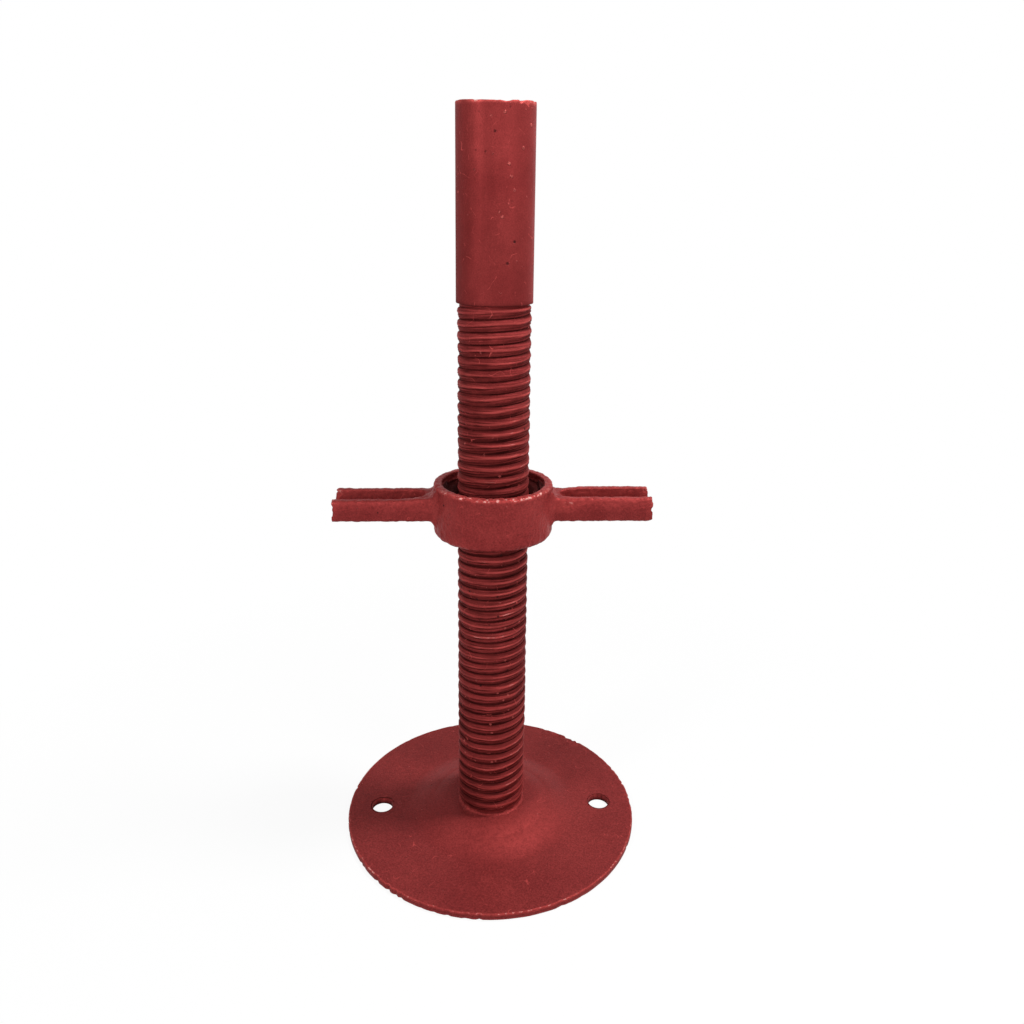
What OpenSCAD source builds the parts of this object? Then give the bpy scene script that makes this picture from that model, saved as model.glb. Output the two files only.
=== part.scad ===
// Scaffold base jack: a pressed round plate, a threaded tube welded upright on it
// and a cast nut with two channel ears that carries the upright and climbs the thread.
// Millimetres, Z up. The sole lies on Z = 0 and the stem's axis is the Z axis.

/* [Stem] */
// Height of the whole jack
jack_height = 380; // [340:5:420]
// Outside diameter of the tube
tube_od = 38; // [37:0.5:42]
// Wall of the tube
tube_wall = 4.5; // [3.5:0.25:5.5]
// Plain length of tube above the thread
shank_length = 93; // [60:1:120]
// Bevel on the tube's ends
tube_bevel = 0.6; // [0.3:0.1:1]

/* [Thread] */
// Rise of the thread in one turn
thread_pitch = 6; // [5:0.5:8]
// Height of the crest above the root
thread_depth = 1.3; // [0.9:0.1:1.7]
// How far the rolled crest stays inside the tube's surface
crest_drop = 0.6; // [0.2:0.1:0.8]
// Gap between the nut's thread and the stem's
thread_gap = 0.4; // [0.3:0.05:0.6]

/* [Base plate] */
// Diameter of the plate
plate_od = 160; // [150:5:200]
// Thickness of the sheet
plate_thickness = 3.5; // [3:0.5:5]
// Height that the middle is pressed up
dish_rise = 5.5; // [4:0.5:8]
// Diameter where the pressed middle starts
dish_od = 96; // [90:2:104]
// Diameter of the ring pressed round the stem's foot
foot_ring_od = 64; // [58:2:72]
// Diameter of the flat land that the stem stands on
foot_land_od = 45; // [44:1:50]
// Diameter of the two nail holes
nail_hole_d = 11.5; // [8:0.5:13]
// From the middle of a nail hole to the plate's edge
nail_hole_edge = 18.5; // [14:0.5:20]

/* [Weld] */
// Leg of the fillet weld at the stem's foot
weld_leg = 3; // [2:0.5:4]

/* [Nut] */
// Height of the nut's underside above the ground
nut_position = 168.2; // [60:0.1:220]
// Diameter of the nut's collar
nut_od = 61.5; // [60:0.5:72]
// Height of the collar
nut_height = 27.5; // [24:0.5:34]
// Diameter of the upright tube that the nut carries
upright_od = 48.3; // [46:0.1:50]
// Gap round the upright in its seat
seat_gap = 2.35; // [1:0.05:3]
// Depth of the seat below the rim
seat_depth = 4.3; // [3:0.1:6]
// Width of the bevel where the thread enters the nut
entry_bevel = 2.6; // [1.5:0.1:3.5]
// Radius of the collar's lower edge
collar_round = 3; // [2:0.5:8]
// Radius of the rim's outer edge
rim_round = 1.2; // [0.5:0.1:1.6]

/* [Ears] */
// From tip to tip of the two ears
ear_span = 164; // [140:2:190]
// Width of an ear from front to back
ear_width = 20; // [17:0.5:24]
// Height of an ear
ear_height = 13; // [11:0.5:15]
// From the rim down to the top of the ears
ear_drop = 6.3; // [4:0.1:8]
// Wall on each side of the channel
ear_wall = 4.5; // [3.5:0.25:5.5]
// Depth of the channel
channel_depth = 7; // [4:0.5:8]
// Solid length between the collar and the channel
channel_start = 3.5; // [2:0.5:8]
// Radius of an ear's lower corners
ear_corner = 5; // [3:0.5:6]
// Radius of the fillet between an ear and the collar, seen from above
root_fillet = 8; // [4:0.5:10]
// Radius of the fillets above and below an ear's root
under_fillet = 2.5; // [2:0.5:5]

/* [Hidden] */
$fa = 3;
$fs = 0.6;
paint = [0.55, 0.20, 0.21];

// One tool of the cuts always reaches this far past the face that it cuts.
past = 1;

// The ears' root blend starts this far inside the collar, so it crosses its face cleanly.
root_sink = 0.1;

// The rolled form, steeper above its crest: share of the pitch, share of the depth.
ridge = [[0, 0], [0.3, 0.62], [0.64, 1], [0.87, 0.75]];
sides = 24;

tube_r = tube_od / 2;
bore_r = tube_r - tube_wall;
crest_r = tube_r - crest_drop;
root_r = crest_r - thread_depth;
foot_z = plate_thickness + dish_rise;
shoulder_z = jack_height - shank_length;

// The ridge runs from just above the weld to just under the shoulder.
foot_neck = weld_leg + 0.5;
shoulder_neck = 0.8;
thread_z = foot_z + foot_neck;
stem_turns = (shoulder_z - shoulder_neck - thread_z) / thread_pitch - 1;

plate_r = plate_od / 2;
nail_hole_x = plate_r - nail_hole_edge;

nut_r = nut_od / 2;
nut_top = nut_position + nut_height;
seat_r = upright_od / 2 + seat_gap;
seat_z = nut_top - seat_depth;
ear_top = nut_top - ear_drop;
ear_z = ear_top - ear_height;
ear_length = ear_span / 2;

// The nut's thread lies outside the stem's by the gap, also between two corners.
nut_scale = 1 / cos(180 / sides);
nut_root_r = (root_r + thread_gap) * nut_scale;
nut_crest_r = (crest_r + thread_gap) * nut_scale;
turns_below_nut = floor((nut_position - thread_z) / thread_pitch) - 2;
nut_turns = ceil(nut_height / thread_pitch) + 3;

// Points of an arc about a centre [across, up], from one angle to another.
function arc(centre, r, from, to, steps = 8) =
  [for (i = [0 : steps])
    let (a = from + (to - from) * i / steps)
    centre + r * [cos(a), sin(a)]];

// A height that eases from one value to another without a crease at the ends.
function ease(from, to, share) = from + (to - from) * (1 - cos(180 * share)) / 2;

// ---- threaded rod ----

function polar(r, angle, z) = [r * cos(angle), r * sin(angle), z];

// The ridge swells to full height over the first and last quarter turn.
function swell(i, last) = min(1, 4 * i / sides, 4 * (last - i) / sides);

// A rod whose ridge starts at height 0 on the X axis and winds to the right.
module threaded_rod(root, crest, turns, neck_below, neck_above) {
  n = floor(sides * turns);
  k = len(ridge);
  pitch = thread_pitch;
  // columns of the ridge, then the last root line, then the two end rings
  columns = [for (i = [0 : n], form = ridge)
    polar(root + (crest - root) * form[1] * swell(i, n), 360 * i / sides,
      pitch * (i / sides + form[0]))];
  last_line = [for (i = [n + 1 : n + sides])
    polar(root, 360 * i / sides, pitch * i / sides)];
  low_ring = [for (i = [0 : sides - 1]) polar(root, 360 * i / sides, -neck_below)];
  high_ring = [for (i = [0 : sides - 1])
    polar(root, 360 * (n + i) / sides, pitch * (n / sides + 1) + neck_above)];
  function at(i, j) =
    j == k ? at(i + sides, 0) : i <= n ? i * k + j : (n + 1) * k + i - n - 1;
  low = (n + 1) * k + sides;
  high = low + sides;
  wall = [for (i = [0 : n - 1], j = [0 : k - 1]) each [
    [at(i, j), at(i, j + 1), at(i + 1, j + 1)],
    [at(i, j), at(i + 1, j + 1), at(i + 1, j)]]];
  // the plain neck below the first root line, closed on the start of the ridge
  neck_in = [for (i = [0 : sides - 1]) [low + i, at(i, 0), at(i + 1, 0)]];
  neck_in_base = [for (i = [0 : sides - 2]) [low + i, at(i + 1, 0), low + i + 1]];
  start = [for (j = [k : -1 : 1]) [low + sides - 1, at(0, j), at(0, j - 1)]];
  start_foot = [low + sides - 1, at(0, 0), low];
  // the same above the last root line
  neck_out = [for (i = [1 : sides - 1]) [at(n + i, 0), high + i, at(n + i + 1, 0)]];
  neck_out_top = [for (i = [0 : sides - 1])
    [high + i, high + (i + 1) % sides, at(n + i + 1, 0)]];
  finish = [for (j = [0 : k - 1]) [at(n, j), at(n, j + 1), at(n + 1, 0)]];
  finish_top = [at(n + sides, 0), high, at(n + 1, 0)];
  ends = [[for (i = [0 : sides - 1]) low + i],
    [for (i = [sides - 1 : -1 : 0]) high + i]];
  polyhedron(concat(columns, last_line, low_ring, high_ring),
    concat(wall, neck_in, neck_in_base, start, [start_foot],
      neck_out, neck_out_top, finish, [finish_top], ends),
    convexity = 10);
}

// ---- base plate ----

// The pressed section's upper line from the rim to the axis.
function pressed_line(lift) =
  let (ring_rise = 0.68 * dish_rise, steps = 8)
  concat(
    [[plate_r, lift]],
    [for (i = [0 : steps]) let (s = i / steps)
      [dish_od / 2 + (foot_ring_od - dish_od) / 2 * s, lift + ease(0, ring_rise, s)]],
    [for (i = [1 : steps]) let (s = i / steps)
      [(foot_ring_od + (foot_land_od - foot_ring_od) * s) / 2,
        lift + ring_rise + (dish_rise - ring_rise) * sin(90 * s)]],
    [[0, lift + dish_rise]]);

module base_plate() {
  color(paint)
  difference() {
    rotate_extrude() polygon(concat(
      pressed_line(plate_thickness),
      [for (i = [len(pressed_line(0)) - 1 : -1 : 0]) pressed_line(0)[i]]));
    for (x = [-nail_hole_x, nail_hole_x])
      translate([x, 0, -past])
        cylinder(d = nail_hole_d, h = plate_thickness + 2 * past);
  }
}

// ---- weld ----

// A hollow fillet round the stem's foot, a running gap away from the tube.
module weld_bead() {
  gap = 0.3;
  inner = root_r + gap;
  lip = 0.4;
  color(paint)
  translate([0, 0, foot_z])
  rotate_extrude() polygon(concat(
    [[inner, 0]],
    [[inner + weld_leg, 0]],
    arc([inner + weld_leg, weld_leg], weld_leg - lip, -90, -180),
    [[inner, weld_leg]]));
}

// ---- stem ----

// The plain tube above the thread, solid here and bored with the rest.
module shank() {
  rotate_extrude() polygon([
    [0, shoulder_z],
    [root_r, shoulder_z],
    [tube_r, shoulder_z + tube_r - root_r],
    [tube_r, jack_height - tube_bevel],
    [tube_r - tube_bevel, jack_height],
    [0, jack_height]]);
}

module stem() {
  color(paint)
  difference() {
    union() {
      translate([0, 0, thread_z])
        threaded_rod(root_r, crest_r, stem_turns, foot_neck, shoulder_neck + past);
      shank();
    }
    rotate_extrude() polygon([
      [0, foot_z - past],
      [bore_r, foot_z - past],
      [bore_r, jack_height - tube_bevel],
      [bore_r + tube_bevel + past, jack_height + past],
      [0, jack_height + past]]);
  }
}

// ---- handle nut ----

// The collar's outline: rounded foot, plain side, rim, seat for the upright.
module collar() {
  rotate_extrude() polygon(concat(
    [[0, nut_position]],
    arc([nut_r - collar_round, nut_position + collar_round], collar_round, -90, 0),
    arc([nut_r - rim_round, nut_top - rim_round], rim_round, 0, 90, 4),
    [[seat_r, nut_top], [seat_r, seat_z], [0, seat_z]]));
}

// An ear's section, upright: flat top, round lower corners.
module ear_section() {
  half = ear_width / 2;
  polygon(concat(
    [[-half, ear_height]],
    arc([-half + ear_corner, ear_corner], ear_corner, 180, 270),
    arc([half - ear_corner, ear_corner], ear_corner, 270, 360),
    [[half, ear_height]]));
}

// The blend from the collar into an ear, seen from above, towards +X.
module root_blend() {
  half = ear_width / 2;
  reach = nut_r + root_fillet - root_sink;
  up = half + root_fillet;
  along = sqrt(reach * reach - up * up);
  turn = atan2(up, along);
  polygon(concat(
    [[0, 0]],
    arc([along, -up], root_fillet, 180 - turn, 90),
    arc([along, up], root_fillet, -90, turn - 180)));
}

// A fillet against the collar in the XZ plane, its corner at the origin.
module corner_fillet() {
  sunk = 3;
  polygon(concat(
    [[-sunk, -past], [under_fillet, -past], [under_fillet, 0]],
    arc([under_fillet, under_fillet], under_fillet, -90, -180),
    [[-sunk, under_fillet]]));
}

module fillet_across(width) {
  rotate([90, 0, 0]) translate([0, 0, -width / 2])
    linear_extrude(width) corner_fillet();
}

// One ear towards +X, its channel open upwards and at the tip.
module ear() {
  half = ear_width / 2 - ear_wall;
  channel_x = nut_r + channel_start + half;
  difference() {
    union() {
      translate([0, 0, ear_z]) rotate([90, 0, 90])
        linear_extrude(ear_length) ear_section();
      translate([0, 0, ear_z + ear_corner])
        linear_extrude(ear_height - ear_corner) root_blend();
      translate([nut_r, 0, ear_top]) fillet_across(ear_width - 2 * ear_wall);
      translate([nut_r, 0, ear_z]) mirror([0, 0, 1])
        fillet_across(ear_width - 2 * ear_corner);
    }
    translate([0, 0, ear_top - channel_depth]) {
      translate([channel_x, 0, 0])
        cylinder(r = half, h = channel_depth + under_fillet + past);
      translate([channel_x, -half, 0])
        cube([ear_length, 2 * half, channel_depth + under_fillet + past]);
    }
  }
}

// The collar's inside, cut last so that it also clears the ears.
module nut_bore() {
  entry_r = nut_crest_r + entry_bevel;
  translate([0, 0, thread_z + turns_below_nut * thread_pitch])
    threaded_rod(nut_root_r, nut_crest_r, nut_turns, thread_pitch, thread_pitch);
  // the seat, then the bevel into the thread
  rotate_extrude() polygon([
    [0, seat_z - entry_bevel],
    [entry_r - entry_bevel, seat_z - entry_bevel],
    [entry_r, seat_z],
    [seat_r, seat_z],
    [seat_r, nut_top + past],
    [0, nut_top + past]]);
  // a small bevel where the stem leaves below
  rotate_extrude() polygon([
    [0, nut_position - past],
    [nut_crest_r + past, nut_position - past],
    [nut_crest_r - past / 2, nut_position + past / 2],
    [0, nut_position + past / 2]]);
}

module handle_nut() {
  color(paint)
  difference() {
    union() {
      collar();
      ear();
      mirror([1, 0, 0]) ear();
    }
    nut_bore();
  }
}

base_plate();
weld_bead();
stem();
handle_nut();
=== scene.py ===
import math

import bpy
import numpy as np
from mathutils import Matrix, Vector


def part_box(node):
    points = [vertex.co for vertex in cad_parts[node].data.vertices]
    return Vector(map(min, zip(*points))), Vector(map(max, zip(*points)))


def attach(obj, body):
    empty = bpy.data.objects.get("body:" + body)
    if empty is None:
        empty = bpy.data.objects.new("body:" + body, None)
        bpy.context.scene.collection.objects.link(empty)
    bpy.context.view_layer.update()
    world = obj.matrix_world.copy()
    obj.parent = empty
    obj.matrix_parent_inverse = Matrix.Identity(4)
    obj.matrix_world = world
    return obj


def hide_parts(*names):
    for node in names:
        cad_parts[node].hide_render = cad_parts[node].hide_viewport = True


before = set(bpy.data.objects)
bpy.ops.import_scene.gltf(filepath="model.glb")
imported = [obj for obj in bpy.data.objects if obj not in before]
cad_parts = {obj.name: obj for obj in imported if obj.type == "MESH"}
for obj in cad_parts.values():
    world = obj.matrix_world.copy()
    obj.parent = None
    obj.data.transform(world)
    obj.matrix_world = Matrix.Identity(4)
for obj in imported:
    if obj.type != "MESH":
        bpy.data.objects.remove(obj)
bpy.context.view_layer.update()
mm = 0.001
plateLow, plateHigh = (np.array(c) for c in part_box("base_plate"))
weldLow = np.array(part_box("weld_bead")[0])
stemLow, stemHigh = (np.array(c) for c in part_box("stem"))
nutLow, nutHigh = (np.array(c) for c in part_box("handle_nut"))


def wave(points, size, seed, count=9):
    # smooth noise from -1 to 1: a sum of sines along random directions, about size from hill to hill
    rng = np.random.default_rng(seed)
    way = rng.normal(size=(count, 3))
    way *= (2 * np.pi / size) * rng.uniform(0.6, 1.5, (count, 1)) / np.linalg.norm(way, axis=1)[:, None]
    shift = rng.uniform(0, 2 * np.pi, count)
    return np.sin(points @ way.T + shift).sum(-1) / math.sqrt(count) / 1.4


def smoothStep(x, low, high):
    # 0 below low, 1 above high, an S between them
    t = np.clip((x - low) / (high - low), 0, 1)
    return t * t * (3 - 2 * t)


def bell(x, width):
    # 1 at x = 0, falling away on both sides over about the width
    return np.exp(-(x / width) ** 2)


def turnFrom(angle, place):
    # the shorter way round from a place to each angle
    return (angle - place + np.pi) % (2 * np.pi) - np.pi


def bumps(angle, height, radius, spots):
    # a bell of the spot's rise about each spot (angle, height, size, rise) on an upright round wall
    total = np.zeros_like(angle)
    for spotAngle, spotHeight, size, rise in spots:
        total += rise * bell(np.hypot(turnFrom(angle, spotAngle) * radius, height - spotHeight), size)
    return total


def around(radius, angle, height):
    # radius, angle and height of an upright round thing, as points
    return np.stack(np.broadcast_arrays(radius * np.cos(angle), radius * np.sin(angle), height), -1)


def addValue(mesh, key, values):
    # one number a point, for the material to read
    layer = mesh.attributes.new(key, "FLOAT", "POINT")
    layer.data.foreach_set("value", np.ascontiguousarray(values, dtype=np.float32))


def meshOf(name, grids, values=None):
    # neighbours in each rows-by-columns grid make two triangles; points that meet to a thousandth
    # of a millimetre become one, and the faces are turned so that the volume is positive
    points, faces, start = [], [], 0
    for grid in grids:
        rows, cols = grid.shape[:2]
        index = start + np.arange(rows * cols).reshape(rows, cols)
        a, b, c, d = index[:-1, :-1], index[:-1, 1:], index[1:, 1:], index[1:, :-1]
        faces += [np.stack([a, b, c], -1).reshape(-1, 3), np.stack([a, c, d], -1).reshape(-1, 3)]
        points.append(grid.reshape(-1, 3))
        start += rows * cols
    points, faces = np.concatenate(points), np.concatenate(faces)
    _, first, same = np.unique(np.round(points * 1e6).astype(np.int64), axis=0,
                               return_index=True, return_inverse=True)
    points, faces = points[first], same.reshape(-1)[faces]
    a, b, c = faces.T
    faces = faces[(a != b) & (b != c) & (c != a)]
    corner = points[faces]
    volume = np.einsum("ij,ij->", corner[:, 0], np.cross(corner[:, 1], corner[:, 2]))
    if volume < 0:
        faces = faces[:, ::-1]
    mesh = bpy.data.meshes.new(name)
    mesh.vertices.add(len(points))
    mesh.vertices.foreach_set("co", points.astype(np.float32).ravel())
    mesh.loops.add(faces.size)
    mesh.loops.foreach_set("vertex_index", faces.astype(np.int32).ravel())
    mesh.polygons.add(len(faces))
    mesh.polygons.foreach_set("loop_start", np.arange(0, faces.size, 3, dtype=np.int32))
    mesh.update(calc_edges=True)
    mesh.polygons.foreach_set("use_smooth", np.ones(len(faces), bool))
    for key, grid in (values or {}).items():
        addValue(mesh, key, grid.reshape(-1)[first])
    piece = bpy.data.objects.new(name, mesh)
    bpy.context.scene.collection.objects.link(piece)
    return piece


def bake(piece):
    # puts what the modifiers make into the mesh itself
    made = bpy.data.meshes.new_from_object(piece.evaluated_get(bpy.context.evaluated_depsgraph_get()))
    piece.modifiers.clear()
    piece.data = made
    return made


def readAll(source, key, count):
    # one three-part value for each of count points, as rows of an array
    out = np.empty(count * 3, np.float32)
    source.foreach_get(key, out)
    return out.reshape(-1, 3).astype(float)


def movePoints(mesh, points):
    # puts every point of the mesh at its row of the array
    mesh.vertices.foreach_set("co", points.astype(np.float32).ravel())
    mesh.update()


thread = {
    "pitch": 6.0 * mm,
    "rootRadius": 17.1 * mm,
    "crestRadius": 18.4 * mm,
    "start": stemLow[2] + 3.5 * mm,      # where the root line crosses +X
    "crestPlace": 0.64,                  # of the way up from crease to crease
    "foldPlace": 0.46,                   # where rolling folds the metal over
    "foldWidth": 0.045,
    "foldDepth": 0.24,                   # of the ridge height
    "crestPower": 0.45,                  # the smaller, the flatter the crest
}


def ridgeHeight(phase):
    # rolled form: a sine leant upwards and raised to a small power, so that the upper flank is
    # steep, the lower one long, the crest broad and flat and the root a narrow crease
    t = thread
    lean = (phase % 1) ** (math.log(0.5) / math.log(t["crestPlace"]))
    return np.clip(np.sin(np.pi * lean), 0, 1) ** t["crestPower"]


def crestFold(phase):
    # the bell-shaped groove of the rolling fold, and the slight fall of the flank under it
    t = thread
    below = t["foldPlace"] - phase % 1
    return bell(below, t["foldWidth"]) + 0.35 * smoothStep(below, 0, 0.13) * smoothStep(phase % 1, 0.02, 0.2)


stem = {
    "tubeRadius": 19.0 * mm,
    "boreRadius": 14.5 * mm,
    "shoulder": stemHigh[2] - 93 * mm,
    "bevel": 0.3 * mm,
    "columns": 80,
    # rows of one pitch, from crease to crease, closest at the fold
    "phases": [0, .03, .07, .12, .18, .24, .30, .36, .40, .43, .46, .49, .52, .57, .63, .69, .75, .81, .87,
               .92, .955, .98],
    "wallRows": 76,
    "boreRows": 24,
    "wander": 0.34,            # how strongly the crest strays up and down its ridge
    "wanderSize": 24 * mm,
    "strand": 0.14,            # rise of a rolling strand, of the ridge height
    "strandStretch": (48, 48, 20),  # per metre, how fast the strands change along their line
    "nicks": 150,
    "nickSize": (0.5, 1.1),    # mm
    "nickRise": (0.1, 0.35),   # mm
    "dents": 26,
    "dentSize": (1.2, 2.4),    # mm
    "dentDepth": (0.05, 0.2),  # mm
    "topRough": 0.55 * mm,
    "topDip": 1.4 * mm,        # how far the sawn top falls towards its front
    "dipPlace": np.radians(-92),
    "paintedShadeSide": np.radians(180),  # where shade is painted on the plain tube
}


def threadPart(turn, rng):
    # rows follow the thread's own lines up the stem, each line one pitch share above the last and
    # rising one pitch a turn; radius = root + swell * (leant ridge - fold + strands) + nicks
    s, t = stem, thread
    cols = s["columns"]
    low, high = stemLow[2], s["shoulder"]
    turns = int(np.ceil((high - t["start"]) / t["pitch"])) + 3
    lift = (np.arange(-2, turns)[:, None] + np.array(s["phases"])).reshape(-1)  # in pitches, one a line
    phase = np.broadcast_to((lift % 1)[:, None], (len(lift), cols + 1))
    height = np.clip(t["start"] + t["pitch"] * (lift[:, None] + turn / (2 * np.pi)), low, high)
    angle = np.broadcast_to(turn, height.shape)
    swell = smoothStep(height, low + 1.2 * mm, low + 4 * mm) * (1 - smoothStep(height, high - 1.6 * mm, high))
    flat = around(t["crestRadius"], angle, height)
    # outside the nut the crest wanders up and down its ridge, and the rollers left strands along it
    underTop = 1 - smoothStep(height, nutHigh[2] - 5 * mm, nutHigh[2])
    free = 1 - smoothStep(height, nutLow[2] - 2 * mm, nutLow[2]) * underTop
    bent = phase % 1
    bent = bent + bent * (1 - bent) * free * (0.12 + s["wander"] * wave(flat, s["wanderSize"], 7))
    ridge = ridgeHeight(bent) * (1 + 0.10 * wave(flat, 9 * mm, 3))
    ridge = ridge - crestFold(bent) * t["foldDepth"] * np.clip(0.6 + 0.9 * wave(flat, 16 * mm, 4), 0, 1.5)
    rolled = flat * np.array(s["strandStretch"]) + around(1, 2 * np.pi * lift[:, None], 0)
    strands = wave(rolled, 1.4, 8, 30) * (0.3 + 0.7 * free)
    ridge = ridge + s["strand"] * strands * smoothStep(ridge, 0.05, 0.4) + 0.05 * wave(flat, 3 * mm, 5)
    radius = t["rootRadius"] + (t["crestRadius"] - t["rootRadius"]) * swell * ridge
    nicks = [(rng.uniform(0, 2 * np.pi), rng.uniform(low + 4 * mm, high - 2 * mm),
              rng.uniform(*s["nickSize"]) * mm, rng.choice([-1, 0.6]) * rng.uniform(*s["nickRise"]) * mm)
             for _ in range(s["nicks"])]
    radius = radius + bumps(angle, height, t["crestRadius"], nicks) * ridge
    radius = np.clip(radius, t["rootRadius"] - 0.1 * mm, t["crestRadius"] + 0.05 * mm)
    # painted shade in the creases, the fold and the strands' grooves; along the crest a painted highlight,
    # also taken as rubbed paint, in patches strongest towards the lit front right
    inFold = 0.45 * bell(bent - t["foldPlace"], t["foldWidth"]) + 0.16 * np.clip(-strands, 0, 1.5)
    shade = np.clip(0.62 * (np.clip(ridge, 0, 1) - inFold) * swell + 0.6 * (1 - swell), 0, 1)
    patch = 0.30 + 0.70 * smoothStep(wave(flat, 20 * mm, 9) + np.cos(angle + 0.9), -0.2, 1.1)
    crestLine = 1.3 * bell(bent - t["crestPlace"], 0.06) + 0.4 * bell(bent - 0.13, 0.05)
    rubAndHighlightStrength = np.clip(crestLine + 0.3 * np.clip(strands, 0, 1.5), 0, 1) * patch * swell
    return radius, angle, height, shade, rubAndHighlightStrength, lift[:, None] + 0 * angle, 0.2 + 0.8 * swell


def tubePart(turn, rng):
    # rows go up a neck, the shoulder's slope and the wall, over the sawn edge and down the bore;
    # radius = the profile + dents, and the rows near the top sink by a dip and some roughness
    s, t = stem, thread
    low, high, top, edge = stemLow[2], s["shoulder"], stemHigh[2], s["bevel"]
    wide, narrow = s["tubeRadius"], s["boreRadius"]
    wall = np.linspace(high + 0.9 * mm, top - 1.6 * mm, s["wallRows"])
    heights = np.concatenate([
        [high + 0.05 * mm, high + 0.3 * mm, high + 0.55 * mm], wall,
        [top - 0.9 * mm, top - edge, top - 0.08 * mm, top, top - 0.1 * mm, top, top - 0.2 * mm, top - edge],
        np.linspace(top - 4 * mm, low, s["boreRows"])])
    radii = np.concatenate([
        [t["rootRadius"] + 0.4 * mm, t["rootRadius"] + 1.1 * mm, wide - 0.05 * mm],
        np.full(len(wall) + 1, wide),
        [wide, wide - 0.12 * mm, wide - 0.35 * mm, (wide + narrow) / 2],
        [narrow + 0.7 * mm, narrow + 0.2 * mm, narrow],
        np.full(s["boreRows"], narrow)])
    angle = np.broadcast_to(turn, (len(heights), s["columns"] + 1))
    height = np.broadcast_to(heights[:, None], angle.shape)
    radius = np.broadcast_to(radii[:, None], angle.shape)
    outside = smoothStep(radius, 16 * mm, 17 * mm)
    dents = [(rng.uniform(0, 2 * np.pi), rng.uniform(high + 8 * mm, top - 2 * mm),
              rng.uniform(*s["dentSize"]) * mm, -rng.uniform(*s["dentDepth"]) * mm)
             for _ in range(s["dents"])]
    radius = radius + outside * bumps(angle, height, wide, dents)
    nearTop = smoothStep(height, top - 2.5 * mm, top - 0.3 * mm)
    sawn = around(wide, angle, top)
    rough = s["topRough"] * (wave(sawn, 6 * mm, 21) + 0.9 * wave(sawn, 2.6 * mm, 22) - 0.1)
    dip = s["topDip"] * bell(turnFrom(angle, s["dipPlace"]), 0.9)
    height = height - nearTop * (dip + np.clip(rough, 0, 1 * mm))
    radius = radius - nearTop * outside * np.clip(0.5 * rough, 0, 1 * mm)
    # painted light and shade: lighter towards the top, painted shade under the shoulder and on the left side
    shade = 0.63 + 0.1 * smoothStep(height, high, top) - 0.25 * bell(height - high, 1.5 * mm)
    shade = shade - 0.25 * bell(turnFrom(angle, s["paintedShadeSide"]), 0.75)
    lift = (high - t["start"]) / t["pitch"] - angle / (2 * np.pi)
    return radius, angle, height, shade, nearTop * outside, lift, 0.2 + 0 * height


def makeStem():
    # the thread's rows, the tube's rows, and the first ring again to close the bore's foot
    turn = np.linspace(0, 2 * np.pi, stem["columns"] + 1)
    rng = np.random.default_rng(11)
    radius, angle, height, shade, rubAndHighlightStrength, lift, streak = (
        np.concatenate(pair) for pair in zip(threadPart(turn, rng), tubePart(turn, rng)))
    grid = around(radius, angle, height)
    # for the paint: its painted shade, its rubbing and painted highlight, and how far
    # it is along and across the rolling marks; the last ring is the first one's double
    last = np.ones((1, len(turn)))
    roll = 2 * np.pi * np.concatenate([lift, 0 * last])
    return meshOf("stemTube", [np.concatenate([grid, grid[:1]])], {
        "open": np.concatenate([shade, last]), "lip": np.concatenate([rubAndHighlightStrength, 0 * last]),
        "streak": np.concatenate([streak, last]), "rollCos": np.cos(roll), "rollSin": np.sin(roll)})


plate = {
    "radius": 80.0 * mm,
    "thickness": 3.5 * mm,
    "rise": 5.5 * mm,
    "dishRadius": 48.0 * mm,
    "ringRadius": 32.0 * mm,
    "landRadius": 22.5 * mm,
    "oneStep": 0.35,         # share of the rise that is a single S
    "holeX": 61.5 * mm,
    "holeRadius": 5.75 * mm,
    "columns": 288,
    "bite": 1.1 * mm,        # shear marks round the rim
    "tornBite": 1.2 * mm,
    "tornRipple": 0.40 * mm,
    "tornPlaces": ((50, 0.24, 1.0), (8, 0.2, 0.6)),  # degrees, radians wide, how strong
    "untrue": 0.10 * mm,
    # a painted highlight on the dish's front, and painted shade towards the back
    "dishHighlight": 0.5,
    "backShade": 0.36,
}


def pressedHeight(radius):
    # rise = one S from the dish's edge to the land, and beside it two easy steps: a swelling up to
    # the ring, then a quarter sine to the land
    p = plate
    domeShare = np.clip((p["ringRadius"] - radius) / (p["ringRadius"] - p["landRadius"]), 0, 1)
    steps = 0.68 * smoothStep(-radius, -p["dishRadius"], -p["ringRadius"])
    steps = steps + 0.32 * np.sin(np.pi / 2 * domeShare)
    single = smoothStep(-radius, -p["dishRadius"], -p["landRadius"])
    return p["rise"] * ((1 - p["oneStep"]) * steps + p["oneStep"] * single)


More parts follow.
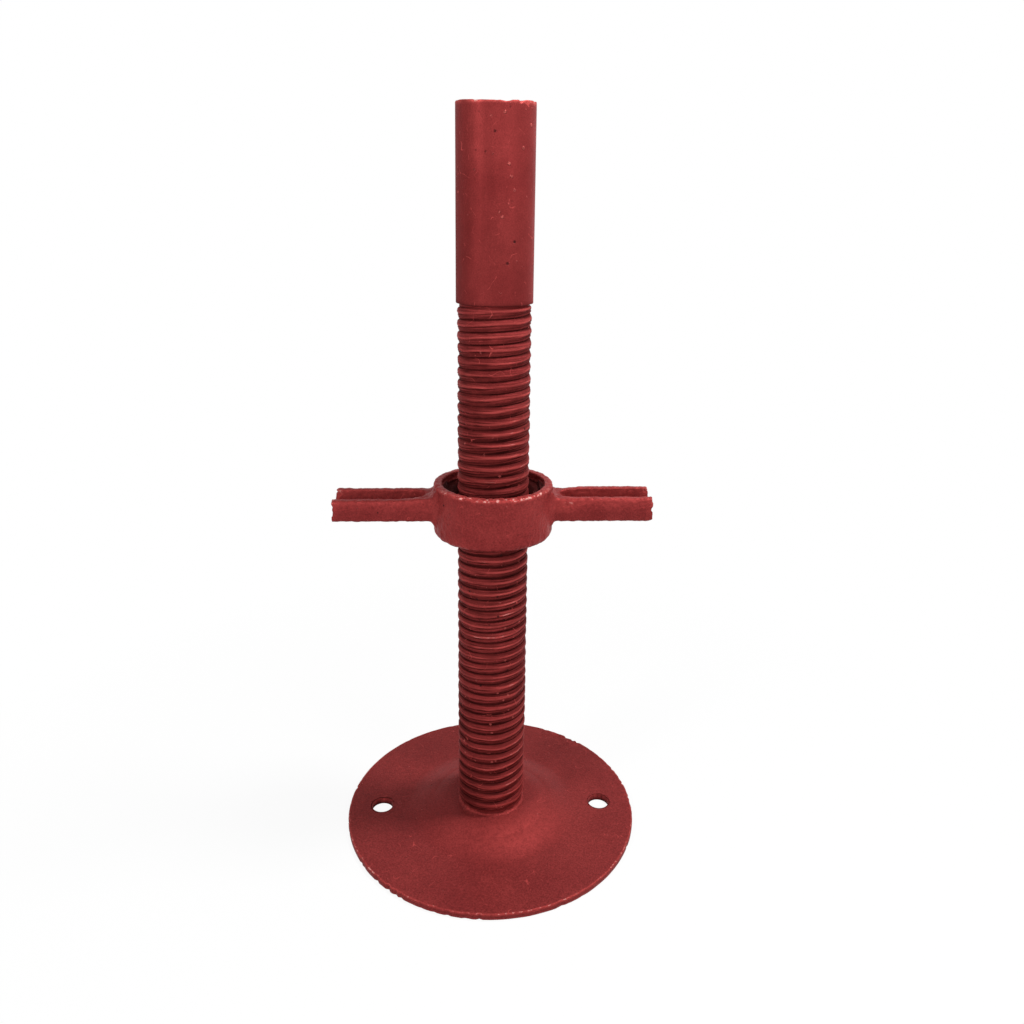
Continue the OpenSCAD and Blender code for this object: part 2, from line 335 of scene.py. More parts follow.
def makePlate():
    # rows go out along the top, round the rim and back in under the sole; columns go once round;
    # height = thickness + pressed rise, and the rim's radius loses its bites
    p = plate
    full, thick = p["radius"], p["thickness"]
    turn = np.linspace(0, 2 * np.pi, p["columns"] + 1)
    out = np.concatenate([[0], np.linspace(4, 20, 7), np.linspace(21, 50, 46), np.linspace(52, 76, 17),
                          [77.2, 78.2, 78.9, 79.4]]) * mm
    rim = np.array([[-0.25, -0.12], [0, -0.55], [0, -1.5], [0, -2.6], [-0.2, -3.2], [-0.6, -3.5]]) * mm
    rimRadius, rimHeight = full + rim[:, 0], thick + rim[:, 1]
    back = np.concatenate([[78, 74, 66, 58], np.linspace(50, 21, 24), [14, 7, 0]]) * mm
    plainRadius = np.concatenate([out, rimRadius, back])[:, None]
    height = np.concatenate([thick + pressedHeight(out), rimHeight, pressedHeight(back)])[:, None]
    angle = np.broadcast_to(turn, (len(plainRadius), len(turn)))
    flat = around(plainRadius, angle, height)
    above = np.concatenate([np.ones(len(out) + 2), np.zeros(len(rim) - 2 + len(back))])[:, None]
    # sheared edge: small bites all round, a torn burr at the back right
    nearEdge = smoothStep(plainRadius, full - 2.5 * mm, full - 0.1 * mm)
    edgePoint = around(full, angle, 0 * height)
    bite = p["bite"] * np.clip(wave(edgePoint, 3.2 * mm, 31) - 0.5, 0, 1)
    bite = bite + 0.12 * mm * (1 + wave(edgePoint, 11 * mm, 32)) / 2
    torn = sum(strong * bell(turnFrom(angle, np.radians(place)), wide)
               for place, wide, strong in p["tornPlaces"])
    bite = bite + p["tornBite"] * torn * np.clip(wave(edgePoint, 2.4 * mm, 33), 0, 1)
    radius = plainRadius - nearEdge * bite
    ripple = smoothStep(radius, full - 9 * mm, full - 4 * mm) * (1 - smoothStep(radius, full - 1 * mm, full))
    height = height + above * ripple * torn * p["tornRipple"] * wave(flat, 2.6 * mm, 34)
    # the sheet isn't quite true, and its dish is pressed unevenly
    untrue = p["untrue"] * wave(flat, 45 * mm, 35) * smoothStep(radius, 10 * mm, 30 * mm)
    height = height + above * (1 - nearEdge) * untrue
    height = np.where(above > 0, np.minimum(height, plateHigh[2]), np.maximum(height, 0))
    grid = around(radius, angle, height)
    # for the paint: the rubbed lip, and painted shade on the sheared wall under it
    plainRadius = plainRadius + 0 * angle
    unpressed = np.concatenate([thick + 0 * out, rimHeight, 0 * back])[:, None] + 0 * angle
    lip = above * bell(plainRadius - full + 0.4 * mm, 0.35 * mm)
    lip = lip + 0.5 * bell(unpressed - 0.3 * mm, 0.4 * mm) * (plainRadius > full - 1 * mm)
    tornRows = smoothStep(plainRadius, full - 10 * mm, full - 4 * mm)
    lip = lip + 0.9 * above * torn * tornRows * np.clip(wave(flat, 3 * mm, 36), 0, 1)
    # a painted highlight on the dish's front, and painted shade growing towards the back
    frontOnly = bell(turnFrom(angle, np.radians(-70)), 0.95)
    lip = lip + p["dishHighlight"] * above * bell(plainRadius - p["ringRadius"], 12 * mm) * frontOnly
    wall = bell(unpressed - 1.9 * mm, 1.2 * mm) * (plainRadius > full - 0.3 * mm)
    paintedBackShade = p["backShade"] * smoothStep(flat[..., 1], -15 * mm, 60 * mm)
    piece = meshOf("pressedPlate", [grid], {"lip": lip, "open": 1 - 0.42 * wall - paintedBackShade})
    # punched nail holes, with the small roll-over that a punch leaves
    turn = np.linspace(0, 2 * np.pi, 65)
    hole = p["holeRadius"] / mm
    punch = np.array([[0, -2], [hole, -2], [hole, 3.1], [hole + 0.1, 3.35], [hole + 0.55, 3.52],
                      [hole + 1.25, 6], [0, 6]]) * mm
    shank = around(punch[:, :1], turn, punch[:, 1:])
    cutter = meshOf("punch", [shank + np.array([side * p["holeX"], 0, 0]) for side in (-1, 1)])
    cut = piece.modifiers.new("holes", "BOOLEAN")
    cut.object, cut.operation, cut.solver = cutter, "DIFFERENCE", "EXACT"
    bake(piece)
    bpy.data.objects.remove(cutter)
    piece.data.set_sharp_from_angle(angle=math.radians(38))
    return piece


weld = {
    "leg": 3.0 * mm,
    "innerRadius": 17.2 * mm,
    "ripples": 46,
    "hollow": 0.22,
    "blobs": ((-140, 0.4, 0.06), (-119, 0.35, 0.04), (-62, 0.4, 0.05), (-43, 0.45, 0.06)),
    # each blob: degrees, how much more leg, radians wide
}


def makeWeld():
    # a fillet carried round the foot, its leg rippled where the rod was moved on: out from the stem
    # by leg * (1 - share - hollow), up by leg * (share - hollow)
    w = weld
    turn = np.linspace(0, 2 * np.pi, 241)
    share = np.linspace(0, 1, 13)[:, None]
    angle = np.broadcast_to(turn, (len(share), len(turn)))
    leg = 0.55 + 0.16 * wave(around(20 * mm, angle, 0 * share), 11 * mm, 41)
    leg = w["leg"] * (leg + 0.05 * np.abs(np.sin(w["ripples"] * angle / 2)))
    leg = leg + w["leg"] * 0.09 * wave(around(20 * mm, angle, 3 * mm * share), 3 * mm, 42)
    for place, more, wide in w["blobs"]:
        leg = leg + w["leg"] * more * bell(turnFrom(angle, np.radians(place)), wide)
    leg = np.minimum(leg, w["leg"])
    hollow = w["hollow"] * np.sin(np.pi * share)
    out = leg * (1 - share - hollow)
    up = leg * (share - hollow * 0.9)
    skin = around(w["innerRadius"] + out, angle, weldLow[2] + np.maximum(up, 0))
    core = around(w["innerRadius"], turn[None, :], weldLow[2] + np.zeros((1, len(turn))))
    rows = np.concatenate([share, [[0], [0]]]) + 0 * turn
    # for the paint: painted shade where the bead meets the stem and at its toe on the plate, and a lighter
    # band along its middle
    return meshOf("footWeld", [np.concatenate([skin, core, skin[:1]])],
                  {"open": 0.9 - 0.55 * smoothStep(rows, 0.6, 1) - 0.25 * bell(rows, 0.12),
                   "lip": 0.35 * bell(rows - 0.45, 0.2)})


nut = {
    "collarRadius": 30.75 * mm,
    "seatRadius": 26.5 * mm,
    "seatDepth": 4.3 * mm,
    "entryBevel": 2.6 * mm,
    "lowerRound": 3.2 * mm,
    "threadGap": 0.45 * mm,
    "earHalfWidth": 10.0 * mm,
    "earHeight": 13.0 * mm,
    "earDrop": 6.3 * mm,
    "earWall": 4.5 * mm,
    "channelDepth": 7.0 * mm,
    "channelStart": 34.3 * mm,
    "rootFillet": 8.0 * mm,
    "underFillet": 2.5 * mm,
    "tip": 82.0 * mm,
    "voxel": 0.5 * mm,
    "wallUp": 0.9 * mm,      # one ear's back wall stands up by this
    "wallDown": 1.2 * mm,    # the other ear's front wall is low by this
    "sandCoarse": 0.15 * mm,
    "sandFine": 0.10 * mm,
    "knock": 0.30 * mm,      # in the rim, at the front
    "ragged": 1.5 * mm,      # at the ears' tips
    "rootHighlight": (36 * mm, -13 * mm, nutHigh[2] - 10 * mm),  # where a painted highlight lies on the right ear's root
}


def arc(centre, radius, start, end, count):
    # points of an arc in a section, by angle
    angle = np.radians(np.linspace(start, end, count))[:, None]
    return np.array(centre) + radius * np.concatenate([np.cos(angle), np.sin(angle)], 1)


def collarGrid():
    # the collar's section turned about Z; bore radius = root + ridge height at the row's own phase
    n, t = nut, thread
    low, top = nutLow[2], nutHigh[2]
    seat = top - n["seatDepth"]
    crest = t["crestRadius"] + n["threadGap"]
    outer = np.concatenate([
        [[crest + 0.6 * mm, low]],
        arc([n["collarRadius"] - n["lowerRound"], low + n["lowerRound"]], n["lowerRound"], -90, 0, 10),
        arc([n["collarRadius"] - 1.2 * mm, top - 1.2 * mm], 1.2 * mm, 0, 90, 5),
        arc([n["seatRadius"] + 0.6 * mm, top - 0.6 * mm], 0.6 * mm, 90, 180, 4),
        [[n["seatRadius"], seat + 0.8 * mm], [n["seatRadius"] - 0.8 * mm, seat]],
        [[crest + n["entryBevel"], seat]],
    ])
    turn = np.linspace(0, 2 * np.pi, 145)
    bore = np.linspace(seat - n["entryBevel"], low + 0.6 * mm, 48)[:, None]
    phase = (bore - t["start"]) / t["pitch"] - turn / (2 * np.pi)
    root = t["rootRadius"] + n["threadGap"]
    boreRadius = root + (crest - root) * ridgeHeight(phase)
    shell = around(outer[:, :1], turn, outer[:, 1:])
    inside = around(boreRadius, turn, bore)
    return np.concatenate([shell, inside, shell[:1]])


def quarterRound(x, wall, radius):
    # how far a quarter round of that radius, standing on the wall, reaches at x
    return radius - np.sqrt(radius ** 2 - np.clip(wall + radius - x, 0, radius) ** 2)


def earGrid(side):
    # a channel section carried out along X, outer line out and inner line back: its half width is the
    # ear's plus a fillet at the collar, its channel falls from the top with a round end
    n = nut
    x = np.concatenate([[24], np.linspace(27, 46, 30), np.linspace(47, 80, 40), [81, 81.7, 82]]) * mm
    x = np.concatenate([[x[0]], x, [x[-1]]])[:, None]
    # in plan the root is a fillet that touches the collar's circle and the ear's side
    fillet = n["rootFillet"]
    centreY = n["earHalfWidth"] + fillet
    centreX = math.sqrt((n["collarRadius"] + fillet) ** 2 - centreY ** 2)
    touchX = centreX * n["collarRadius"] / (n["collarRadius"] + fillet)
    inFillet = np.clip(centreX - x, 0, centreX - touchX)
    half = centreY - np.sqrt(fillet ** 2 - inFillet ** 2)
    below = quarterRound(x, n["collarRadius"] - 0.5 * mm, n["underFillet"])
    above = quarterRound(x, n["collarRadius"] - 0.5 * mm, 3.6 * mm)
    top = nutHigh[2] - n["earDrop"] + above
    foot = nutHigh[2] - n["earDrop"] - n["earHeight"] - below
    # outer line, as shares of the half width and of the height above the foot: down past the
    # parting line at half height, under the drawn-in lower half, and up again
    corner = arc([0, 0], 1, 180, 270, 7)
    left = np.concatenate([[-0.90, -0.965, -0.99, -1.015, -0.985, -0.95], -0.60 + corner[:, 0] * 0.33])
    rise = np.concatenate([[1, 0.93, 0.76, 0.53, 0.49, 0.30], 0.16 + corner[:, 1] * 0.16])
    acrossOuter = np.concatenate([left, np.linspace(-0.5, 0.5, 5), -left[::-1]])
    riseOuter = np.concatenate([rise, np.zeros(5), rise[::-1]])
    count = len(acrossOuter)
    outY = half * acrossOuter
    outZ = foot + (top - foot) * riseOuter
    # inner line: flat on top near the collar, then the channel with a round end
    start = n["channelStart"]
    reach = (n["earHalfWidth"] - n["earWall"])
    into = np.clip((x - start) / reach, 0, 1)
    channelHalf = reach * np.sqrt(np.clip(1 - (1 - into) ** 2, 0, 1))
    depth = n["channelDepth"] * smoothStep(x, start - 0.3 * mm, start + 5 * mm)
    shape = np.linspace(-1, 1, count)
    inY = np.clip(shape * 1.45, -1, 1) * np.maximum(channelHalf, 0.3 * mm)
    inZ = top - depth * smoothStep(1.45 - np.abs(shape * 1.45) - 0.12, 0.0, 0.32)
    points = np.concatenate([np.stack(np.broadcast_arrays(x, outY, outZ), -1),
                             np.stack(np.broadcast_arrays(x, inY[:, ::-1], inZ[:, ::-1]), -1)], 1)
    # the walls aren't level: the back one of one ear stands up, the front one of the other is low
    earLevel = nutHigh[2] - n["earDrop"]
    upper = smoothStep(points[..., 2], earLevel - 4 * mm, earLevel)
    upper = upper * smoothStep(points[..., 0], 34 * mm, 50 * mm)
    wallSide = smoothStep(side * points[..., 1], 3 * mm, 6 * mm)
    points[..., 2] += upper * wallSide * (n["wallUp"] if side > 0 else -n["wallDown"])
    # both ends close on the line midway between outer and inner
    middle = (points[:, :count] + points[:, count:][:, ::-1]) / 2
    for end in (0, -1):
        points[end, :count] = middle[end]
        points[end, count:] = middle[end][::-1]
    points = np.concatenate([points, points[:, :1]], 1)
    points[..., 0] *= side
    return points if side > 0 else points[:, ::-1]


def makeNut():
    # collar and ears are fused as one casting by a fine voxel skin, then each point moves along its
    # normal by two waves, as sand leaves a casting, less the knocks in the rim
    n = nut
    piece = meshOf("castNut", [collarGrid()])
    ears = [meshOf("ear", [earGrid(side)]) for side in (-1, 1)]
    for ear in ears:
        join = piece.modifiers.new("join", "BOOLEAN")
        join.object, join.operation, join.solver = ear, "UNION", "EXACT"
    skin = piece.modifiers.new("skin", "REMESH")
    skin.mode, skin.voxel_size = "VOXEL", n["voxel"]
    soften = piece.modifiers.new("soften", "SMOOTH")
    soften.factor, soften.iterations = 0.5, 2
    bake(piece)
    for ear in ears:
        bpy.data.objects.remove(ear)
    mesh = piece.data
    count = len(mesh.vertices)
    points, normals = readAll(mesh.vertices, "co", count), readAll(mesh.vertex_normals, "vector", count)
    radius = np.hypot(points[:, 0], points[:, 1])
    outside = smoothStep(radius, 20 * mm, 22 * mm)
    move = n["sandCoarse"] * wave(points, 5 * mm, 51) + n["sandFine"] * wave(points, 2.2 * mm, 52, 24)
    # rim knocked about, worst at the front
    front = smoothStep(-points[:, 1], 4 * mm, 26 * mm)
    rim = smoothStep(points[:, 2], nutHigh[2] - 2.4 * mm, nutHigh[2] - 0.3 * mm) * (radius < 32 * mm)
    move -= rim * (0.10 * mm + n["knock"] * front) * np.clip(wave(points, 2.6 * mm, 53) + 0.1, 0, 1.2)
    # ragged tips where the ears were broken out of the runner
    along = np.abs(points[:, 0])
    tip = smoothStep(along, n["tip"] - 5 * mm, n["tip"] - 0.5 * mm)
    ragged = np.clip(wave(points * np.array([0.3, 1, 1]), 4.5 * mm, 54) + 0.1, -0.2, 1.4)
    points = points + normals * (outside * move)[:, None]
    points[:, 0] -= np.sign(points[:, 0]) * tip * (n["ragged"] * ragged + 0.3 * mm)
    points = np.clip(points, nutLow, nutHigh)
    movePoints(mesh, points)
    # rubbed and painted highlight: the rim, most at its outer edge and, as painted highlight, towards the
    # front;
    # the ears' rubbed tips, painted light on their walls' upper parts, and a painted highlight on the right
    # ear's root
    upright, earLevel = points[:, 2], nutHigh[2] - n["earDrop"]
    earTop = smoothStep(upright, earLevel - 5.5 * mm, earLevel - 1.5 * mm)
    earTop = earTop * smoothStep(along, 33 * mm, 42 * mm)
    edge = 0.5 + 0.5 * smoothStep(radius, 28.5 * mm, 29.8 * mm)
    rootHighlight = 0.55 * bell(np.linalg.norm(points - n["rootHighlight"], axis=1), 7 * mm)
    lip = np.clip(rim * edge * (0.4 + 0.6 * front) + tip * 0.3 + 0.4 * earTop + rootHighlight, 0, 1) * outside
    # painted shade: the bore and recess, the ears' lower halves and the collar's foot
    inBore = 1 - smoothStep(radius, n["seatRadius"] - 0.9 * mm, n["seatRadius"] + 0.3 * mm)
    belowTop = 1 - smoothStep(upright, nutHigh[2] - 1 * mm, nutHigh[2])
    aboveFoot = smoothStep(upright, nutLow[2] + 0.5 * mm, nutLow[2] + 2 * mm)
    earMiddle = earLevel - 0.5 * n["earHeight"]
    drawnIn = (along > 31 * mm) * (1 - smoothStep(upright, earMiddle - 1 * mm, earMiddle + 0.3 * mm))
    foot = (radius < 31 * mm) * (1 - smoothStep(upright, nutLow[2] + 0.3 * mm, nutLow[2] + 1.9 * mm))
    openness = 1 - 0.97 * inBore * belowTop * aboveFoot - 0.34 * drawnIn - 0.75 * foot
    addValue(mesh, "lip", lip)
    addValue(mesh, "open", openness)
    mesh.polygons.foreach_set("use_smooth", np.ones(len(mesh.polygons), bool))
    return piece


def linear(hexColour):
    # an sRGB hex value as linear red, green, blue and full alpha
    part = [int(hexColour[i:i + 2], 16) / 255 for i in (1, 3, 5)]
    return [c / 12.92 if c <= 0.04045 else ((c + 0.055) / 1.055) ** 2.4 for c in part] + [1.0]


def addNode(tree, kind, links=None, values=None, out=None, **settings):
    # adds one node with its settings, socket values and incoming links, and gives back one output
    node = tree.nodes.new(kind)
    for name, value in settings.items():
        setattr(node, name, value)
    for name, value in (values or {}).items():
        node.inputs[name].default_value = value
    for name, socket in (links or {}).items():
        tree.links.new(socket, node.inputs[name])
    return node.outputs[out] if out else next((o for o in node.outputs if o.enabled), None)


def redEnamel(name, look):
    # red alkyd enamel, brushed on thick and gone dull outdoors: its soft sheen takes the red of the chalked
    # pigment;
    # high spots are rubbed brighter and carry painted highlights, creases, hollows and shaded sides carry
    # painted shade
    material = bpy.data.materials.new(name)
    material.use_nodes = True
    tree = material.node_tree
    tree.nodes.clear()
    place = addNode(tree, "ShaderNodeTexCoord", out="Object")
    elsewhere = addNode(tree, "ShaderNodeVectorMath", {0: place}, {1: (0.031, 0.017, 0.011)}, operation="ADD")
    openness, lip, streak, rollCos, rollSin = (
        addNode(tree, "ShaderNodeAttribute", out="Fac", attribute_name=key)
        for key in ("open", "lip", "streak", "rollCos", "rollSin"))
    # the rolled tube's own coordinate turns once a pitch and changes slowly in space, per metre, so
    # that its noises draw out along the thread
    roll = addNode(tree, "ShaderNodeCombineXYZ", {"X": rollCos, "Y": rollSin})
    along = addNode(tree, "ShaderNodeVectorMath", {0: place, 2: roll}, {1: (70, 70, 25)},
                    operation="MULTIPLY_ADD")
    wearAndHighlightInput = (along, 1.3) if look["marks"] else (place, 1 / (look["wearAndHighlightSize"] * mm))

    # noises, each about as fine as what it stands for; grain and rolling marks are finer in life
    # than shows, so they are drawn coarser
    field = {}
    for key, vector, scale, detail, roughness in (
        ("cloud", place, 1 / (look["cloudSize"] * mm), 4, 0.6),       # thick and thin film
        ("grain", place, 1 / (look["grainSize"] * mm), 3, 0.65),      # dust and dry brush in it
        ("drag", place, 1 / (look["dragSize"] * mm), 5, 0.65),        # drag of the brush
        ("wearAndHighlightNoise", *wearAndHighlightInput, 5, 0.7),                                  # rubbing and painted highlights
        ("marks", along, 0.8, 4, 0.7),                                # rolling and drawing marks
        ("line", elsewhere, 1 / (look["scratchSize"] * mm), 1, 0.5),  # its middle value draws scratches
        ("spread", elsewhere, 1 / (4.5 * mm), 2, 0.5),                # where scratches lie
    ):
        field[key] = addNode(tree, "ShaderNodeTexNoise", {"Vector": vector},
                             {"Scale": scale, "Detail": detail, "Roughness": roughness})
    for key, vector, spacing in (
        ("chips", place, look["chipSpacing"]),
        ("pits", elsewhere, look["pitSpacing"]),
    ):
        field[key] = addNode(tree, "ShaderNodeTexVoronoi", {"Vector": vector}, {"Scale": 1 / (spacing * mm)},
                             out="Distance")
    centred = addNode(tree, "ShaderNodeMath", {0: field["line"]}, {1: 0.5}, operation="SUBTRACT")
    field["line"] = addNode(tree, "ShaderNodeMath", {0: centred}, operation="ABSOLUTE")
    field["open"], field["lip"] = openness, lip
    # the marks fade to their middle value where the surface wasn't rolled
    centred = addNode(tree, "ShaderNodeMath", {0: field["marks"]}, {1: 0.5}, operation="SUBTRACT")
    field["marks"] = addNode(tree, "ShaderNodeMath", {0: centred, 1: streak}, {2: 0.5},
                             operation="MULTIPLY_ADD")

    # shares: from which field, its low and high value, what those become
    share = {}
    for key, source, low, high, first, last in (
        ("mottle", "cloud", 0.36, 0.66, 0, 1),
        ("grainShade", "grain", 0.3, 0.7, 1 - look["grain"], 1 + look["grain"]),
        ("marksShade", "marks", 0.35, 0.65, 1 - look["marks"], 1 + look["marks"]),
        ("rubAndHighlightPatches", "wearAndHighlightNoise", 0.38, 0.60, 0.25, look["rubAndHighlightStrength"]),
        ("bareAndGlintPatches", "wearAndHighlightNoise", look["bareAndGlintFrom"], look["bareAndGlintFrom"] + 0.06, 0, 0.9),
        ("crease", "open", look["creaseLow"], look["creaseHigh"], look["creaseShade"], 1),
        ("chipShape", "chips", look["chipSize"], look["chipSize"] * 0.5, 0, 0.9),
        ("chipPlace", "drag", 0.52, 0.58, 0, 1),
        ("pitShape", "pits", look["pitSize"], look["pitSize"] * 0.5, 0, 0.85),
        ("pitPlace", "cloud", 0.5, 0.56, 0, 1),
        ("lineShape", "line", 0.0035, 0.001, 0, look["scratches"]),
        ("linePlace", "spread", 0.54, 0.60, 0, 1),
        ("gloss", "drag", 0.3, 0.7, look["roughness"] - 0.05, look["roughness"] + 0.07),
        ("edge", "lip", 0.5, 0.9, 0, 1),
    ):
        share[key] = addNode(tree, "ShaderNodeMapRange", {"Value": field[source]}, {
            "From Min": low, "From Max": high, "To Min": first, "To Max": last})
    share["lip"] = lip
    # the first mix lays rubbed paint and painted highlights, the second bare paint and painted glints
    for key, first, second in (
        ("rubAndHighlightMix", "rubAndHighlightPatches", "lip"),
        ("bareAndGlint", "bareAndGlintPatches", "edge"),
        ("chip", "chipShape", "chipPlace"),
        ("pit", "pitShape", "pitPlace"),
        ("scratch", "lineShape", "linePlace"),
    ):
        share[key] = addNode(tree, "ShaderNodeMath", {0: share[first], 1: share[second]},
                             operation="MULTIPLY", use_clamp=True)

    # colour: mottle, grain and marks, then rubbing with painted highlights, painted shade in creases and
    # hollows, and knocks and painted glints over it
    colour = addNode(tree, "ShaderNodeMix", {"Factor": share["mottle"]},
                     {"A": linear(look["darkRed"]), "B": linear(look["lightRed"])}, data_type="RGBA")
    for key in ("grainShade", "marksShade"):
        colour = addNode(tree, "ShaderNodeVectorMath", {0: colour, "Scale": share[key]}, operation="SCALE")
    colour = addNode(tree, "ShaderNodeMix", {"A": colour, "Factor": share["rubAndHighlightMix"]},
                     {"B": linear(look["rubAndHighlightRed"])}, data_type="RGBA")
    colour = addNode(tree, "ShaderNodeVectorMath", {0: colour, "Scale": share["crease"]}, operation="SCALE")
    for key, top in (("scratch", "rubAndHighlightRed"), ("pit", "pitRed"), ("chip", "chipRed"), ("bareAndGlint", "paleRed")):
        colour = addNode(tree, "ShaderNodeMix", {"A": colour, "Factor": share[key]},
                         {"B": linear(look[top])}, data_type="RGBA")

    # relief: each field's rise or fall and its depth in millimetres
    normal = None
    for height, strength, depth in (
        (field["grain"], look["peel"], 0.14),
        (field["drag"], look["drag"], 0.25),
        (field["marks"], min(1, look["marks"] * 3), 0.55),
        (share["chip"], 1.0, 0.50),
        (share["pit"], -1.0, 0.35),
        (share["scratch"], -0.5, 0.08),
        (share["bareAndGlint"], 0.6, 0.12),
    ):
        links = {"Height": height, "Normal": normal} if normal else {"Height": height}
        normal = addNode(tree, "ShaderNodeBump", links, {"Strength": abs(strength), "Distance": depth * mm},
                         invert=strength < 0)
    # where shade is painted, the surface is also duller: roughness = gloss + (1 - crease) / 2
    dull = addNode(tree, "ShaderNodeMath", {0: share["crease"], 2: share["gloss"]}, {1: -0.5},
                   operation="MULTIPLY_ADD")
    dull = addNode(tree, "ShaderNodeMath", {0: dull}, {1: 0.5}, operation="ADD", use_clamp=True)
    shader = addNode(tree, "ShaderNodeBsdfPrincipled",
                     {"Base Color": colour, "Roughness": dull, "Normal": normal},
                     {"Metallic": look["metallic"], "IOR": 1.5, "Specular IOR Level": look["sheen"],
                      "Specular Tint": linear(look["sheenTint"])})
    addNode(tree, "ShaderNodeOutputMaterial", {"Surface": shader})
    return material


# sizes and spacings in millimetres, chip and pit sizes as shares of their spacing
enamel = {
    "darkRed": "#7c2b2b",     # thin and thick film
    "lightRed": "#8b3433",
    # the colour of rubbed paint, and of painted highlights
    "rubAndHighlightRed": "#b54744",
    "chipRed": "#b45550",
    "paleRed": "#e0aaa2",     # chalked to the primer on edges, and painted glints there
    "pitRed": "#2c1516",
    "cloudSize": 16,
    "grainSize": 0.6,
    "grain": 0.16,            # how much the grain shades the colour
    "peel": 0.5,              # how much it stands up
    "dragSize": 5,
    "drag": 0.45,
    "marks": 0.0,             # rolling marks, on the tube alone
    "wearAndHighlightSize": 2.2,
    "rubAndHighlightStrength": 0.9,
    "bareAndGlintFrom": 0.60,         # the lower, the more edge is bare and painted with glints
    "creaseLow": 0.04,
    "creaseHigh": 0.75,
    "creaseShade": 0.16,
    "chipSpacing": 7,
    "chipSize": 0.13,
    "pitSpacing": 8,
    "pitSize": 0.09,
    "scratchSize": 14,
    "scratches": 0.7,
    "roughness": 0.38,
    "metallic": 0.20,         # lends the sheen the paint's own red
    "sheen": 0.06,
    "sheenTint": "#ff7a70",
}
tubeEnamel = {
    **enamel,
    "rubAndHighlightRed": "#cb5551", "rubAndHighlightStrength": 1.0, "marks": 0.6, "drag": 0.3, "cloudSize": 26,
    "chipSpacing": 5, "chipSize": 0.20, "pitSpacing": 6, "pitSize": 0.15,
}
sheetEnamel = {
    **enamel,
    "darkRed": "#772a2a", "lightRed": "#82302f", "cloudSize": 34, "dragSize": 9, "drag": 0.3,
    "grainSize": 0.8, "grain": 0.32, "peel": 0.9, "bareAndGlintFrom": 0.57, "metallic": 0.14,
    "chipSpacing": 5, "chipSize": 0.09, "pitSpacing": 20, "pitSize": 0.03,
}
castEnamel = {
    **enamel,
    "dragSize": 2.4, "drag": 0.9, "grainSize": 0.8, "grain": 0.28, "peel": 1.0, "bareAndGlintFrom": 0.54,
    "chipSpacing": 5, "chipSize": 0.10, "roughness": 0.33,
}


print("stage: stem")
stemTube = makeStem()
print("stage: plate")
pressedPlate = makePlate()
print("stage: weld")
footWeld = makeWeld()
print("stage: nut")
castNut = makeNut()

for piece, body, node, slot in (
    (stemTube, "jack", "stem", "stem_paint"),
    (pressedPlate, "jack", "base_plate", "plate_paint"),
    (footWeld, "weld", "weld_bead", "plate_paint"),
    (castNut, "nut", "handle_nut", "nut_paint"),
):
    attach(piece, body)
    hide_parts(node)

print("stage: finishes")
for name, look, dressed in (
    ("rolledTubeEnamel", tubeEnamel, [stemTube]),
    ("sheetSteelEnamel", sheetEnamel, [pressedPlate, footWeld]),
    ("castIronEnamel", castEnamel, [castNut]),
):
    finish = redEnamel(name, look)
    for piece in dressed:
        piece.data.materials.clear()
        piece.data.materials.append(finish)


studio = {
    "worldLight": 0.07,
    "floorColour": "#f6f6f6",
    "floorHalf": 6.0,
    "floorDrop": 0.05 * mm,       # keeps the floor clear of the sole
    "fade": (0.10, 0.35, 0.92),   # from, to, and how far the card glows at the object
    "lamps": [  # name, place, aim, size, watts, whether it shines on gloss
        ("overheadRight", (0.60, 0.00, 1.15), (0, 0, 0.05), 0.22, 11.6, True),
        ("leftStrip", (-0.42, -0.36, 0.50), (0, 0, 0.30), 0.10, 1.6, True),
        ("frontRight", (0.62, -0.74, 0.62), (0, 0, 0.08), 0.30, 2.3, True),
        ("front", (0.05, -0.90, 0.55), (0, 0, 0.20), 0.40, 1.9, True),
        ("lowBack", (-0.30, 0.95, 0.28), (0, 0, 0.20), 0.40, 1.2, False),
    ],
}


def aim(thing, place, target):
    # stands a lamp at place and turns it so that its -Z looks at target
    way = np.array(target, float) - np.array(place, float)
    tilt = math.atan2(math.hypot(way[0], way[1]), -way[2])
    thing.location = place
    thing.rotation_euler = (tilt, 0, math.atan2(way[1], way[0]) - math.pi / 2)


print("stage: studio")
for name, place, target, size, watts, shines in studio["lamps"]:
    light = bpy.data.lights.new(name, "AREA")
    light.size, light.energy = size, watts
    lamp = bpy.data.objects.new(name, light)
    bpy.context.scene.collection.objects.link(lamp)
    aim(lamp, place, target)
    lamp.visible_glossy = shines

# the room looks white, also in gloss, and lights the object little
world = bpy.data.worlds.new("paleRoom")
bpy.context.scene.world = world
world.use_nodes = True
tree = world.node_tree
tree.nodes.clear()
straight, mirrored, through = (addNode(tree, "ShaderNodeLightPath", out="Is %s Ray" % kind)
                               for kind in ("Camera", "Glossy", "Transmission"))
seen = addNode(tree, "ShaderNodeMath", {0: straight, 1: mirrored}, operation="MAXIMUM")
seen = addNode(tree, "ShaderNodeMath", {0: seen, 1: through}, operation="MAXIMUM")
level = addNode(tree, "ShaderNodeMapRange", {"Value": seen}, {"To Min": studio["worldLight"], "To Max": 1.0})
air = addNode(tree, "ShaderNodeBackground", {"Strength": level}, {"Color": (1, 1, 1, 1)})
addNode(tree, "ShaderNodeOutputWorld", {"Surface": air})

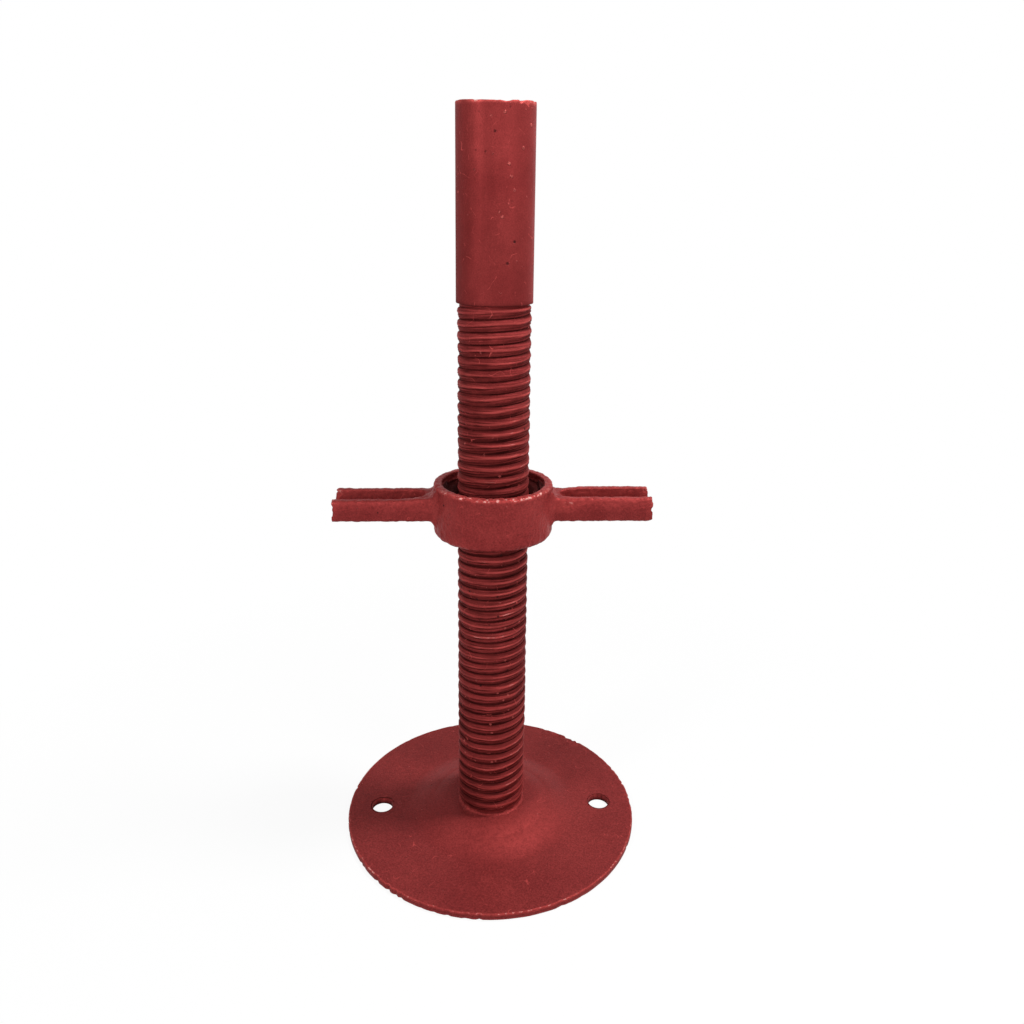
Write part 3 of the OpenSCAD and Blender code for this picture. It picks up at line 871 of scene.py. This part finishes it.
# a diffuse card that keeps the shadow, with a white glow for the eye that rises away from the object
half = studio["floorHalf"]
side = np.array([-half, half])
floorGrid = np.stack(np.broadcast_arrays(side[None, :], side[:, None], plateLow[2] - studio["floorDrop"]), -1)
floor = meshOf("paleFloor", [floorGrid])
floorMaterial = bpy.data.materials.new("paleFloorCard")
floorMaterial.use_nodes = True
tree = floorMaterial.node_tree
tree.nodes.clear()
card = addNode(tree, "ShaderNodeBsdfDiffuse", values={"Color": linear(studio["floorColour"])})
glow = addNode(tree, "ShaderNodeEmission", values={"Color": (1, 1, 1, 1), "Strength": 1.0})
straight, mirrored = (addNode(tree, "ShaderNodeLightPath", out="Is %s Ray" % kind)
                      for kind in ("Camera", "Glossy"))
seen = addNode(tree, "ShaderNodeMath", {0: straight, 1: mirrored}, operation="MAXIMUM")
place = addNode(tree, "ShaderNodeTexCoord", out="Object")
away = addNode(tree, "ShaderNodeVectorMath", {0: place}, operation="LENGTH")
near, far, atObject = studio["fade"]
fade = addNode(tree, "ShaderNodeMapRange", {"Value": away},
               {"From Min": near, "From Max": far, "To Min": atObject, "To Max": 1.0})
shown = addNode(tree, "ShaderNodeMath", {0: fade, 1: seen}, operation="MULTIPLY")
both = addNode(tree, "ShaderNodeMixShader", {"Fac": shown, 1: card, 2: glow})
addNode(tree, "ShaderNodeOutputMaterial", {"Surface": both})
floor.data.materials.append(floorMaterial)

view = {
    "sensor": 36,          # mm, as the lens
    "lens": 29.67,
    "away": 416.4 * mm,
    "height": 327.6 * mm,
    "azimuth": -1.26,      # degrees round from the front, towards -X
    "pitch": 13.94,        # degrees below the horizon
    "yaw": 1.11,           # degrees that the axis stands left of the middle
    "roll": -0.70,
    "shift": -0.0821,      # of the frame
}
cameraData = bpy.data.cameras.new("studioCamera")
cameraData.sensor_width, cameraData.lens = view["sensor"], view["lens"]
cameraData.shift_y = view["shift"]
camera = bpy.data.objects.new("studioCamera", cameraData)
bpy.context.scene.collection.objects.link(camera)
turned = math.radians(view["azimuth"])
camera.location = (view["away"] * math.sin(turned), -view["away"] * math.cos(turned), view["height"])
camera.rotation_euler = (math.radians(90 - view["pitch"]), math.radians(view["roll"]),
                         turned - math.radians(view["yaw"]))
bpy.context.scene.camera = camera
bpy.context.scene.view_settings.view_transform = "Standard"

print("stage: done")
